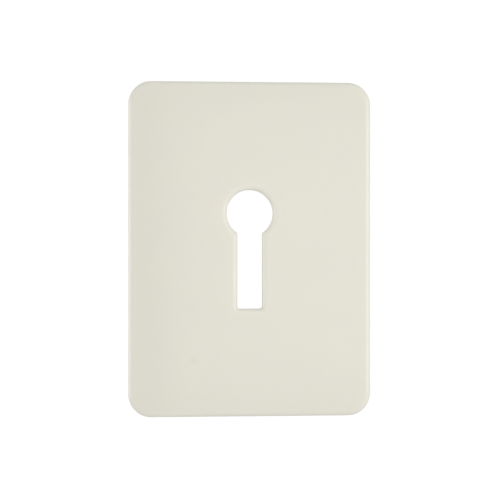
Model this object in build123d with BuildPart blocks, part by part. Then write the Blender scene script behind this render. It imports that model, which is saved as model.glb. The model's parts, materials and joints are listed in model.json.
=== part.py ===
from build123d import *
import os

# Keyhole escutcheon: a plain door plate, moulded in one piece, seen as it sits on the door.
# X runs across the plate and Z up it, and the front faces -Y.
# The flat back lies in the plane Y = 0, and the origin is where the key's axis meets it.
# All sizes are in millimetres, and the draft is in degrees.

# Plate
plate_width = 50.8
plate_height = 70.0
plate_thickness = 3.0
corner_radius = 4.8
front_rounding = 1.2
wall_draft = 1.5

# Keyhole
key_axis_above_middle = 7.5
keyhole_head_diameter = 9.8
keyhole_slot_width = 5.3
keyhole_slot_reach = 20.0
keyhole_foot_radius = 0.6
keyhole_rounding = 1.2

with BuildPart() as escutcheon_plate:
    # The plate is widest at its back, and its walls lean in to leave the mould.
    with BuildSketch(Plane.XZ):
        with Locations((0, -key_axis_above_middle)):
            RectangleRounded(plate_width, plate_height, corner_radius)
    extrude(amount=plate_thickness, taper=wall_draft)
    front_face = escutcheon_plate.faces().sort_by(Axis.Y)[0]
    fillet(front_face.edges(), radius=front_rounding)

    # The keyhole is a round head on the key's axis, and a slot that hangs from it for the key's bit.
    with BuildSketch(Plane.XZ) as keyhole:
        Circle(keyhole_head_diameter / 2)
        Rectangle(keyhole_slot_width, keyhole_slot_reach, align=(Align.CENTER, Align.MAX))
        foot_corners = keyhole.vertices().group_by(Axis.Y)[0]
        fillet(foot_corners, radius=keyhole_foot_radius)
    extrude(amount=plate_thickness, mode=Mode.SUBTRACT)

    # One rolled edge follows the head, the two necks and the slot around the front of the keyhole.
    front_face = escutcheon_plate.faces().sort_by(Axis.Y)[0]
    fillet(front_face.inner_wires()[0].edges(), radius=keyhole_rounding)

escutcheon_plate.part.label = "escutcheon_plate"

os.makedirs("parts", exist_ok=True)
export_step(escutcheon_plate.part, "parts/escutcheon_plate.step")
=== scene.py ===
import json
import math

import bpy
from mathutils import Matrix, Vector


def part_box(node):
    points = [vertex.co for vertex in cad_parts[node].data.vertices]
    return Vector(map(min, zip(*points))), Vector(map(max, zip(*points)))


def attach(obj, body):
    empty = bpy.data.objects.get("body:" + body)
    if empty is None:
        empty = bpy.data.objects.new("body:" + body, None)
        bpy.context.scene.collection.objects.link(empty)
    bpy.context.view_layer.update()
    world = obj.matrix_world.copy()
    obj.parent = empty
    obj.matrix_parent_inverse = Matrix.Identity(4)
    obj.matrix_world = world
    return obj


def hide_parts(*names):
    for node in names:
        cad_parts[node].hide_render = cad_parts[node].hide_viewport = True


# The frame: one moulded plate that faces -Y, with the key's axis at the origin
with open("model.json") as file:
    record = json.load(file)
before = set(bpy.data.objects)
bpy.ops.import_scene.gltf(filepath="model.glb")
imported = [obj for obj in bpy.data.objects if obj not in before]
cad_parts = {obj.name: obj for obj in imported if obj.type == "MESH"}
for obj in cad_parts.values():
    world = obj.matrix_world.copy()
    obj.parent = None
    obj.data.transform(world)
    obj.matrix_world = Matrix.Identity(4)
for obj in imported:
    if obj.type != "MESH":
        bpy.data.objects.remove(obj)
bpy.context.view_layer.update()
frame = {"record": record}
plate_low, plate_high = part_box("escutcheon_plate")
keyhole = next(mount for mount in frame["record"]["mounts"] if mount["name"] == "keyhole")
front_middle = Vector((0.0, plate_low.y, (plate_low.z + plate_high.z) / 2))

MM = 0.001


def linear(hex_colour):
    """An sRGB hex colour, as the linear RGBA that a shader takes."""
    channels = [int(hex_colour[i:i + 2], 16) / 255 for i in (1, 3, 5)]
    return [c / 12.92 if c <= 0.04045 else ((c + 0.055) / 1.055) ** 2.4 for c in channels] + [1.0]


def add(tree, kind, inputs, **settings):
    """Adds one node, with its settings and its inputs, each a plain value or the socket that feeds it."""
    node = tree.nodes.new(kind)
    for name, value in settings.items():
        setattr(node, name, value)
    for name, value in inputs.items():
        if isinstance(value, bpy.types.NodeSocket):
            tree.links.new(value, node.inputs[name])
        else:
            node.inputs[name].default_value = value
    return node


# Ivory plastic, with its lengths in millimetres
ABS_IOR = 1.54
TRANSLUCENCY = 0.5
LIGHT_SPREAD = 1.5
# Where along Y, just in front of the flat back, its matt skin begins and is whole
MATT_BEGINS = -0.15
MATT_WHOLE = -0.02
# The pigment's clouds, and one fleck whose place is given across and up from the key's axis
CLOUD_WIDTH = 9.0
FLECK_ACROSS = -11.8
FLECK_UP = -30.6
FLECK_CORE = 0.2
FLECK_REACH = 1.1
FLECK_STRENGTH = 0.24
# The width of the shine's drift, and the roughness of the front, from least to greatest, and of the back
DRIFT_WIDTH = 14.0
SATIN_SMOOTHEST = 0.28
SATIN_ROUGHEST = 0.34
MATT = 0.5
# The skin's pits, as they are drawn
PIT_WIDTH = 0.25
FRONT_PIT_DEPTH = 0.0015
BACK_PIT_DEPTH = 0.006


def ivory_abs():
    """Injection-moulded ABS in ivory: an even warm white with a satin skin, a little translucent.

    The polished half of the mould gives the front its soft shine, and the plain half leaves the back matt.
    """
    material = bpy.data.materials.new("ivory_moulded_abs")
    material.use_nodes = True
    tree = material.node_tree
    shader = tree.nodes["Principled BSDF"]
    shader.inputs["IOR"].default_value = ABS_IOR
    shader.inputs["Subsurface Weight"].default_value = TRANSLUCENCY
    shader.inputs["Subsurface Radius"].default_value = (1.0, 1.0, 1.0)
    shader.inputs["Subsurface Scale"].default_value = LIGHT_SPREAD * MM
    place = add(tree, "ShaderNodeTexCoord", {}).outputs["Object"]
    depth = add(tree, "ShaderNodeSeparateXYZ", {"Vector": place}).outputs["Y"]
    at_back = add(tree, "ShaderNodeMapRange", {
        "Value": depth, "From Min": MATT_BEGINS * MM, "From Max": MATT_WHOLE * MM,
    }, interpolation_type="SMOOTHSTEP").outputs["Result"]

    # Pigment: clouds so faint that the face looks even, and one fleck under the skin
    clouds = add(tree, "ShaderNodeTexNoise", {
        "Vector": place, "Scale": 1 / (CLOUD_WIDTH * MM), "Detail": 2.0,
    }).outputs["Fac"]
    ivory = add(tree, "ShaderNodeMix", {
        "Factor": clouds, "A": linear("#e8e5da"), "B": linear("#e9e8db"),
    }, data_type="RGBA").outputs["Result"]
    from_fleck = add(tree, "ShaderNodeVectorMath", {
        0: place, 1: Vector((FLECK_ACROSS * MM, plate_low.y, FLECK_UP * MM)),
    }, operation="DISTANCE").outputs["Value"]
    fleck = add(tree, "ShaderNodeMapRange", {
        "Value": from_fleck, "From Min": FLECK_CORE * MM, "From Max": FLECK_REACH * MM,
        "To Min": FLECK_STRENGTH, "To Max": 0.0,
    }, interpolation_type="SMOOTHSTEP").outputs["Result"]
    colour = add(tree, "ShaderNodeMix", {
        "Factor": fleck, "A": ivory, "B": linear("#d6d4c6"),
    }, data_type="RGBA").outputs["Result"]
    tree.links.new(colour, shader.inputs["Base Color"])

    # Shine: it drifts from place to place, as the skin cooled, and is lost at the back
    drift = add(tree, "ShaderNodeTexNoise", {
        "Vector": place, "Scale": 1 / (DRIFT_WIDTH * MM), "Detail": 1.0,
    }).outputs["Fac"]
    satin = add(tree, "ShaderNodeMix", {
        "Factor": drift, "A": SATIN_SMOOTHEST, "B": SATIN_ROUGHEST,
    }).outputs["Result"]
    roughness = add(tree, "ShaderNodeMix", {"Factor": at_back, "A": satin, "B": MATT}).outputs["Result"]
    tree.links.new(roughness, shader.inputs["Roughness"])

    # Grain: the mould leaves pits about 0.05 mm wide, drawn five times coarser to show in a close view
    grain = add(tree, "ShaderNodeTexNoise", {
        "Vector": place, "Scale": 1 / (PIT_WIDTH * MM), "Detail": 2.0,
    }).outputs["Fac"]
    pit_depth = add(tree, "ShaderNodeMix", {
        "Factor": at_back, "A": FRONT_PIT_DEPTH * MM, "B": BACK_PIT_DEPTH * MM,
    }).outputs["Result"]
    bump = add(tree, "ShaderNodeBump", {
        "Height": grain, "Distance": pit_depth, "Strength": 1.0,
    }).outputs["Normal"]
    tree.links.new(bump, shader.inputs["Normal"])
    return material


# Plate, with its sizes in millimetres as in the solid, and its back edges softened as a mould leaves them
THICKNESS = (plate_high.y - plate_low.y) / MM
WALL_DRAFT = math.radians(1.5)
PLATE_SIZES = {
    "Width": (plate_high.x - plate_low.x) / MM,
    "Height": (plate_high.z - plate_low.z) / MM,
    "Thickness": THICKNESS,
    "Middle Drop": -front_middle.z / MM,
    "Corner Radius": 4.8,
    "Wall Lean": THICKNESS * math.tan(WALL_DRAFT),
    "Front Rounding": 1.2,
    "Head Radius": keyhole["dims"]["r_mm"],
    "Slot Half Width": 2.65,
    "Slot Reach": 20.0,
    "Foot Radius": 0.6,
    "Keyhole Rounding": THICKNESS - keyhole["dims"]["length_mm"],
    "Back Softening": 0.15,
    "Flat Border": 0.4,
}
# How finely the curves are drawn, how near points are joined and from which fold an edge is a crease
ROUNDING_STEPS = 14
CORNER_STEPS = 28
FOOT_STEPS = 12
HEAD_POINTS = 97
MERGE_DISTANCE = 0.002
SHARP_ANGLE = math.radians(25)
# The point of an edge's section at which the front meets the wall
FRONT_CORNER = 1
# The two sockets of a Compare node that take whole numbers
WHOLE_A = 2
WHOLE_B = 3
# The turn that stands the drawing up, so that its Y runs down the plate and its Z to the back
STAND_UP = (-math.pi / 2, 0.0, 0.0)


def edge_section(tree, size, rounding, lean):
    """The line swept along an edge: over the front to its rounding, down the wall and in over the back."""
    border = add(tree, "ShaderNodeMath", {0: rounding, 1: size["Flat Border"]}, operation="ADD").outputs[0]
    lines = add(tree, "GeometryNodeCurvePrimitiveQuadrilateral", {
        "Point 1": add(tree, "ShaderNodeCombineXYZ", {"X": border, "Y": size["Thickness"]}).outputs[0],
        "Point 2": add(tree, "ShaderNodeCombineXYZ", {"X": lean, "Y": size["Thickness"]}).outputs[0],
        "Point 3": (0.0, 0.0, 0.0),
        "Point 4": add(tree, "ShaderNodeCombineXYZ", {"X": border}).outputs[0],
    }, mode="POINTS").outputs["Curve"]
    lines = add(tree, "GeometryNodeSetSplineCyclic", {
        "Geometry": lines, "Cyclic": False,
    }).outputs["Geometry"]
    corner = add(tree, "GeometryNodeInputIndex", {}).outputs["Index"]
    at_front = add(tree, "FunctionNodeCompare", {
        WHOLE_A: corner, WHOLE_B: FRONT_CORNER,
    }, data_type="INT", operation="EQUAL").outputs[0]
    radius = add(tree, "GeometryNodeSwitch", {
        "Switch": at_front, "False": size["Back Softening"], "True": rounding,
    }, input_type="FLOAT").outputs["Output"]
    return add(tree, "GeometryNodeFilletCurve", {
        "Curve": lines, "Radius": radius, "Count": ROUNDING_STEPS,
    }, mode="POLY").outputs["Curve"]


def outer_edge(tree, size):
    """The plate's outer edge, swept around the rounded rectangle of its back."""
    outline = add(tree, "GeometryNodeCurvePrimitiveQuadrilateral", {
        "Width": size["Width"], "Height": size["Height"],
    }, mode="RECTANGLE").outputs["Curve"]
    outline = add(tree, "GeometryNodeSetPosition", {
        "Geometry": outline,
        "Offset": add(tree, "ShaderNodeCombineXYZ", {"Y": size["Middle Drop"]}).outputs[0],
    }).outputs["Geometry"]
    outline = add(tree, "GeometryNodeFilletCurve", {
        "Curve": outline, "Radius": size["Corner Radius"], "Count": CORNER_STEPS,
    }, mode="POLY").outputs["Curve"]
    section = edge_section(tree, size, size["Front Rounding"], size["Wall Lean"])
    return add(tree, "GeometryNodeCurveToMesh", {
        "Curve": add(tree, "GeometryNodeReverseCurve", {"Curve": outline}).outputs["Curve"],
        "Profile Curve": section,
    }).outputs["Mesh"]


def slot_edge(tree, size, section, shoulder):
    """The edge of the keyhole's slot: down its right side, around its foot and up its left side."""
    right = size["Slot Half Width"]
    left = add(tree, "ShaderNodeMath", {0: right, 1: -1.0}, operation="MULTIPLY").outputs[0]
    foot = size["Slot Reach"]
    path = add(tree, "GeometryNodeCurvePrimitiveQuadrilateral", {
        "Point 1": add(tree, "ShaderNodeCombineXYZ", {"X": right}).outputs[0],
        "Point 2": add(tree, "ShaderNodeCombineXYZ", {"X": right, "Y": foot}).outputs[0],
        "Point 3": add(tree, "ShaderNodeCombineXYZ", {"X": left, "Y": foot}).outputs[0],
        "Point 4": add(tree, "ShaderNodeCombineXYZ", {"X": left}).outputs[0],
    }, mode="POINTS").outputs["Curve"]
    path = add(tree, "GeometryNodeSetSplineCyclic", {
        "Geometry": path, "Cyclic": False,
    }).outputs["Geometry"]
    path = add(tree, "GeometryNodeFilletCurve", {
        "Curve": path, "Radius": size["Foot Radius"], "Count": FOOT_STEPS,
    }, mode="POLY").outputs["Curve"]
    swept = add(tree, "GeometryNodeCurveToMesh", {"Curve": path, "Profile Curve": section}).outputs["Mesh"]

    # The upper ends come down to the neck's crease, as far from the slot's side as from the head's circle
    place = add(tree, "ShaderNodeSeparateXYZ", {
        "Vector": add(tree, "GeometryNodeInputPosition", {}).outputs["Position"],
    }).outputs
    upper = add(tree, "FunctionNodeCompare", {0: place["Y"], 1: shoulder}, operation="LESS_THAN").outputs[0]
    across = add(tree, "ShaderNodeMath", {0: place["X"]}, operation="ABSOLUTE").outputs[0]
    reach = add(tree, "ShaderNodeMath", {
        0: across, 1: 2.0, 2: shoulder,
    }, operation="MULTIPLY_ADD").outputs[0]
    square = add(tree, "ShaderNodeMath", {0: reach, 1: shoulder}, operation="MULTIPLY").outputs[0]
    drop = add(tree, "ShaderNodeMath", {0: square}, operation="SQRT").outputs[0]
    crease = add(tree, "ShaderNodeCombineXYZ", {"X": place["X"], "Y": drop, "Z": place["Z"]}).outputs[0]
    return add(tree, "GeometryNodeSetPosition", {
        "Geometry": swept, "Selection": upper, "Position": crease,
    }).outputs["Geometry"]


def head_edge(tree, size, section, shoulder):
    """The edge of the keyhole's head: swept straight, then bent around from neck to neck."""
    line = add(tree, "GeometryNodeCurvePrimitiveLine", {"End": (1.0, 0.0, 0.0)}).outputs["Curve"]
    line = add(tree, "GeometryNodeResampleCurve", {"Curve": line, "Count": HEAD_POINTS}).outputs["Curve"]
    swept = add(tree, "GeometryNodeCurveToMesh", {"Curve": line, "Profile Curve": section}).outputs["Mesh"]
    place = add(tree, "ShaderNodeSeparateXYZ", {
        "Vector": add(tree, "GeometryNodeInputPosition", {}).outputs["Position"],
    }).outputs
    radius = add(tree, "ShaderNodeMath", {
        0: size["Head Radius"], 1: place["Y"],
    }, operation="SUBTRACT").outputs[0]

    # Each ring stops at the necks' creases, a gap's angle to either side of straight down
    lack = add(tree, "ShaderNodeMath", {0: shoulder, 1: radius}, operation="DIVIDE").outputs[0]
    sine = add(tree, "ShaderNodeMath", {0: 1.0, 1: lack}, operation="SUBTRACT").outputs[0]
    gap = add(tree, "ShaderNodeMath", {0: sine}, operation="ARCSINE").outputs[0]
    sweep = add(tree, "ShaderNodeMath", {0: math.pi, 1: gap}, operation="SUBTRACT").outputs[0]
    along = add(tree, "ShaderNodeMath", {
        0: place["X"], 1: 2.0, 2: -1.0,
    }, operation="MULTIPLY_ADD").outputs[0]
    angle = add(tree, "ShaderNodeMath", {
        0: along, 1: sweep, 2: math.pi,
    }, operation="MULTIPLY_ADD").outputs[0]
    spoke = add(tree, "ShaderNodeCombineXYZ", {"Y": radius, "Z": place["Z"]}).outputs[0]
    bent = add(tree, "ShaderNodeVectorRotate", {
        "Vector": spoke, "Angle": angle,
    }, rotation_type="Z_AXIS").outputs[0]
    return add(tree, "GeometryNodeSetPosition", {"Geometry": swept, "Position": bent}).outputs["Geometry"]


def plate_tree():
    """The plate's node tree, in millimetres as on a drawing: X to the right, Y down and Z to the back."""
    tree = bpy.data.node_groups.new("moulded_plate", "GeometryNodeTree")
    tree.interface.new_socket("Plate", in_out="OUTPUT", socket_type="NodeSocketGeometry")
    for name in PLATE_SIZES:
        tree.interface.new_socket(name, in_out="INPUT", socket_type="NodeSocketFloat")
    tree.interface.new_socket("Finish", in_out="INPUT", socket_type="NodeSocketMaterial")
    size = add(tree, "NodeGroupInput", {}).outputs

    # The edges, with the keyhole's in two sweeps that meet in a crease at each neck
    section = edge_section(tree, size, size["Keyhole Rounding"], lean=0.0)
    shoulder = add(tree, "ShaderNodeMath", {
        0: size["Head Radius"], 1: size["Slot Half Width"],
    }, operation="SUBTRACT").outputs[0]
    edges = add(tree, "GeometryNodeJoinGeometry", {})
    for sweep in (
        outer_edge(tree, size),
        slot_edge(tree, size, section, shoulder),
        head_edge(tree, size, section, shoulder),
    ):
        tree.links.new(sweep, edges.inputs["Geometry"])
    edges = add(tree, "GeometryNodeMergeByDistance", {
        "Geometry": edges.outputs["Geometry"], "Distance": MERGE_DISTANCE,
    }).outputs["Geometry"]

    # The flat faces, which fill the edges' open rims at the back and at the front
    faces = add(tree, "GeometryNodeInputMeshEdgeNeighbors", {}).outputs["Face Count"]
    rim = add(tree, "FunctionNodeCompare", {
        WHOLE_A: faces, WHOLE_B: 1,
    }, data_type="INT", operation="EQUAL").outputs[0]
    place = add(tree, "ShaderNodeSeparateXYZ", {
        "Vector": add(tree, "GeometryNodeInputPosition", {}).outputs["Position"],
    }).outputs
    front_depth = add(tree, "ShaderNodeMath", {
        0: size["Thickness"], 1: -1.0,
    }, operation="MULTIPLY").outputs[0]
    mid_depth = add(tree, "ShaderNodeMath", {0: front_depth, 1: 0.5}, operation="MULTIPLY").outputs[0]
    in_front = add(tree, "FunctionNodeCompare", {
        0: place["Z"], 1: mid_depth,
    }, operation="LESS_THAN").outputs[0]
    front_rim = add(tree, "FunctionNodeBooleanMath", {0: rim, 1: in_front}, operation="AND").outputs[0]
    back_rim = add(tree, "FunctionNodeBooleanMath", {0: rim, 1: in_front}, operation="NIMPLY").outputs[0]
    front = add(tree, "GeometryNodeMeshToCurve", {"Mesh": edges, "Selection": front_rim}).outputs["Curve"]
    front = add(tree, "GeometryNodeFillCurve", {"Curve": front}).outputs["Mesh"]
    front = add(tree, "GeometryNodeFlipFaces", {"Mesh": front}).outputs["Mesh"]
    front = add(tree, "GeometryNodeSetPosition", {
        "Geometry": front, "Offset": add(tree, "ShaderNodeCombineXYZ", {"Z": front_depth}).outputs[0],
    }).outputs["Geometry"]
    back = add(tree, "GeometryNodeMeshToCurve", {"Mesh": edges, "Selection": back_rim}).outputs["Curve"]
    back = add(tree, "GeometryNodeFillCurve", {"Curve": back}).outputs["Mesh"]
    whole = add(tree, "GeometryNodeJoinGeometry", {})
    for surface in (edges, front, back):
        tree.links.new(surface, whole.inputs["Geometry"])
    whole = add(tree, "GeometryNodeMergeByDistance", {
        "Geometry": whole.outputs["Geometry"], "Distance": MERGE_DISTANCE,
    }).outputs["Geometry"]

    # Smooth shading, apart from the creases, and the turn that stands the plate up in metres
    whole = add(tree, "GeometryNodeSetShadeSmooth", {"Geometry": whole}).outputs["Geometry"]
    fold = add(tree, "GeometryNodeInputMeshEdgeAngle", {}).outputs["Unsigned Angle"]
    crease = add(tree, "FunctionNodeCompare", {
        0: fold, 1: SHARP_ANGLE,
    }, operation="GREATER_THAN").outputs[0]
    whole = add(tree, "GeometryNodeSetShadeSmooth", {
        "Geometry": whole, "Selection": crease, "Shade Smooth": False,
    }, domain="EDGE").outputs["Geometry"]
    whole = add(tree, "GeometryNodeTransform", {
        "Geometry": whole, "Rotation": STAND_UP, "Scale": (MM, MM, MM),
    }).outputs["Geometry"]
    whole = add(tree, "GeometryNodeRealizeInstances", {"Geometry": whole}).outputs["Geometry"]
    whole = add(tree, "GeometryNodeSetMaterial", {
        "Geometry": whole, "Material": size["Finish"],
    }).outputs["Geometry"]
    add(tree, "NodeGroupOutput", {"Plate": whole})
    return tree


def moulded_plate(finish):
    """The plate as one closed mesh, made by its node tree."""
    tree = plate_tree()
    values = dict(PLATE_SIZES, Finish=finish)
    draft = bpy.data.objects.new("plate_draft", bpy.data.meshes.new("plate_draft"))
    bpy.context.scene.collection.objects.link(draft)
    modifier = draft.modifiers.new("moulded_plate", "NODES")
    modifier.node_group = tree
    for socket in tree.interface.items_tree:
        if socket.in_out == "INPUT":
            modifier[socket.identifier] = values[socket.name]
    evaluated = draft.evaluated_get(bpy.context.evaluated_depsgraph_get())
    mesh = bpy.data.meshes.new_from_object(evaluated)
    draft.modifiers.remove(modifier)
    bpy.data.objects.remove(draft)
    mesh.name = "moulded_plate"
    # The first material slot is empty, and the second holds the finish
    mesh.materials.pop(index=0)
    piece = bpy.data.objects.new("moulded_plate", mesh)
    bpy.context.scene.collection.objects.link(piece)
    return piece


plate = moulded_plate(ivory_abs())
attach(plate, "root")
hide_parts("escutcheon_plate")


# Studio, as bright behind the plate as white paper, and no brighter, so that the edges don't burn out
WHITE = 1.03
# How far the floor runs to each side, in metres
FLOOR_REACH = 2.0
# The walls' light, and how it grows to the right and to the front
WALL_LIGHT = 0.605
WALL_SLOPE = (0.102, -0.152, 0.0)
# What is added to it above and below, and how that falls towards the back
END_LIGHT = 0.141
END_SLOPE = -0.112


def studio_floor():
    """A plain white floor under the plate's lower edge, which glows like the white around it."""
    corners = [
        (-FLOOR_REACH, -FLOOR_REACH),
        (FLOOR_REACH, -FLOOR_REACH),
        (FLOOR_REACH, FLOOR_REACH),
        (-FLOOR_REACH, FLOOR_REACH),
    ]
    mesh = bpy.data.meshes.new("floor")
    mesh.from_pydata([(x, y, plate_low.z) for x, y in corners], [], [(0, 1, 2, 3)])
    floor = bpy.data.objects.new("floor", mesh)
    bpy.context.scene.collection.objects.link(floor)
    # It is only seen, and neither lights nor shades the plate
    floor.visible_diffuse = False
    floor.visible_glossy = False
    floor.visible_shadow = False
    material = bpy.data.materials.new("white_light_table")
    material.use_nodes = True
    tree = material.node_tree
    glow = add(tree, "ShaderNodeEmission", {"Color": linear("#ffffff"), "Strength": WHITE})
    tree.links.new(glow.outputs["Emission"], tree.nodes["Material Output"].inputs["Surface"])
    mesh.materials.append(material)


def surround():
    """A white room around the plate, brighter in front, above, below and at its right."""
    world = bpy.data.worlds.new("surround")
    world.use_nodes = True
    bpy.context.scene.world = world
    tree = world.node_tree
    direction = add(tree, "ShaderNodeTexCoord", {}).outputs["Generated"]
    axes = add(tree, "ShaderNodeSeparateXYZ", {"Vector": direction}).outputs
    slope = add(tree, "ShaderNodeVectorMath", {
        0: direction, 1: WALL_SLOPE,
    }, operation="DOT_PRODUCT").outputs["Value"]
    walls = add(tree, "ShaderNodeMath", {0: slope, 1: WALL_LIGHT}, operation="ADD").outputs[0]
    ends = add(tree, "ShaderNodeMath", {
        0: axes["Y"], 1: END_SLOPE, 2: END_LIGHT,
    }, operation="MULTIPLY_ADD").outputs[0]
    upright = add(tree, "ShaderNodeMath", {0: axes["Z"], 1: axes["Z"]}, operation="MULTIPLY").outputs[0]
    light = add(tree, "ShaderNodeMath", {
        0: upright, 1: ends, 2: walls,
    }, operation="MULTIPLY_ADD").outputs[0]
    seen = add(tree, "ShaderNodeLightPath", {}).outputs["Is Camera Ray"]
    background = tree.nodes["Background"]
    background.inputs["Color"].default_value = linear("#ffffff")
    tree.links.new(
        add(tree, "ShaderNodeMix", {"Factor": seen, "A": light, "B": WHITE}).outputs["Result"],
        background.inputs["Strength"],
    )


def softbox(name, turn, distance, width, height, power, shift=0.0):
    """A soft white light level with the plate's middle, turned in degrees to the right of its front.

    Its distance, its sides and its shift to the right are in metres, and its power is in watts.
    """
    light = bpy.data.lights.new(name, "AREA")
    light.shape = "RECTANGLE"
    light.size = width
    light.size_y = height
    light.energy = power
    lamp = bpy.data.objects.new(name, light)
    bpy.context.scene.collection.objects.link(lamp)
    out = Vector((math.sin(math.radians(turn)), -math.cos(math.radians(turn)), 0.0))
    lamp.location = front_middle + Vector((shift, 0.0, 0.0)) + out * distance
    lamp.rotation_mode = "QUATERNION"
    lamp.rotation_quaternion = out.to_track_quat("Z", "Y")
    lamp.visible_camera = False
    return lamp


studio_floor()
surround()
softbox("key", turn=58, distance=0.3, width=0.26, height=0.18, power=0.155)
softbox("fill", turn=-75, distance=0.3, width=0.20, height=0.20, power=0.135)
# Two lamps from behind, which draw the bright line along the left edge
softbox("rim", turn=-120, distance=0.3, width=0.10, height=0.14, power=0.13)
softbox("edge", turn=-100, distance=0.3, width=0.05, height=0.14, power=0.04)
# A far lamp for the back, without its glint, which would mark the keyhole's wall
softbox("back", turn=180, distance=1.0, width=0.10, height=0.10, power=3.2).visible_glossy = False
# A faint panel close in front, off to the right, whose light fades towards the other edges
softbox("front", turn=0, distance=0.010, width=0.072, height=0.068, power=0.0015, shift=18.5 * MM)

# Camera, at the photograph's angle, with its lens and sensor in millimetres and its distances in metres
CAMERA_DISTANCE = 300 * MM
CAMERA_TURN = math.radians(-4.8)
CAMERA_RISE = math.radians(0.14)
AIM_SHIFT = Vector((-0.11, 0.0, -0.17)) * MM
LENS = 103.7
SENSOR_WIDTH = 36.0
NEAREST = 0.01
FARTHEST = 10.0
aim = front_middle + AIM_SHIFT
back = Vector((
    math.sin(CAMERA_TURN) * math.cos(CAMERA_RISE),
    -math.cos(CAMERA_TURN) * math.cos(CAMERA_RISE),
    math.sin(CAMERA_RISE),
))
camera = bpy.data.objects.new("camera", bpy.data.cameras.new("camera"))
bpy.context.scene.collection.objects.link(camera)
camera.data.sensor_width = SENSOR_WIDTH
camera.data.lens = LENS
camera.data.clip_start = NEAREST
camera.data.clip_end = FARTHEST
camera.location = aim + back * CAMERA_DISTANCE
camera.rotation_mode = "QUATERNION"
camera.rotation_quaternion = back.to_track_quat("Z", "Y")
bpy.context.scene.camera = camera
bpy.context.scene.view_settings.view_transform = "Standard"
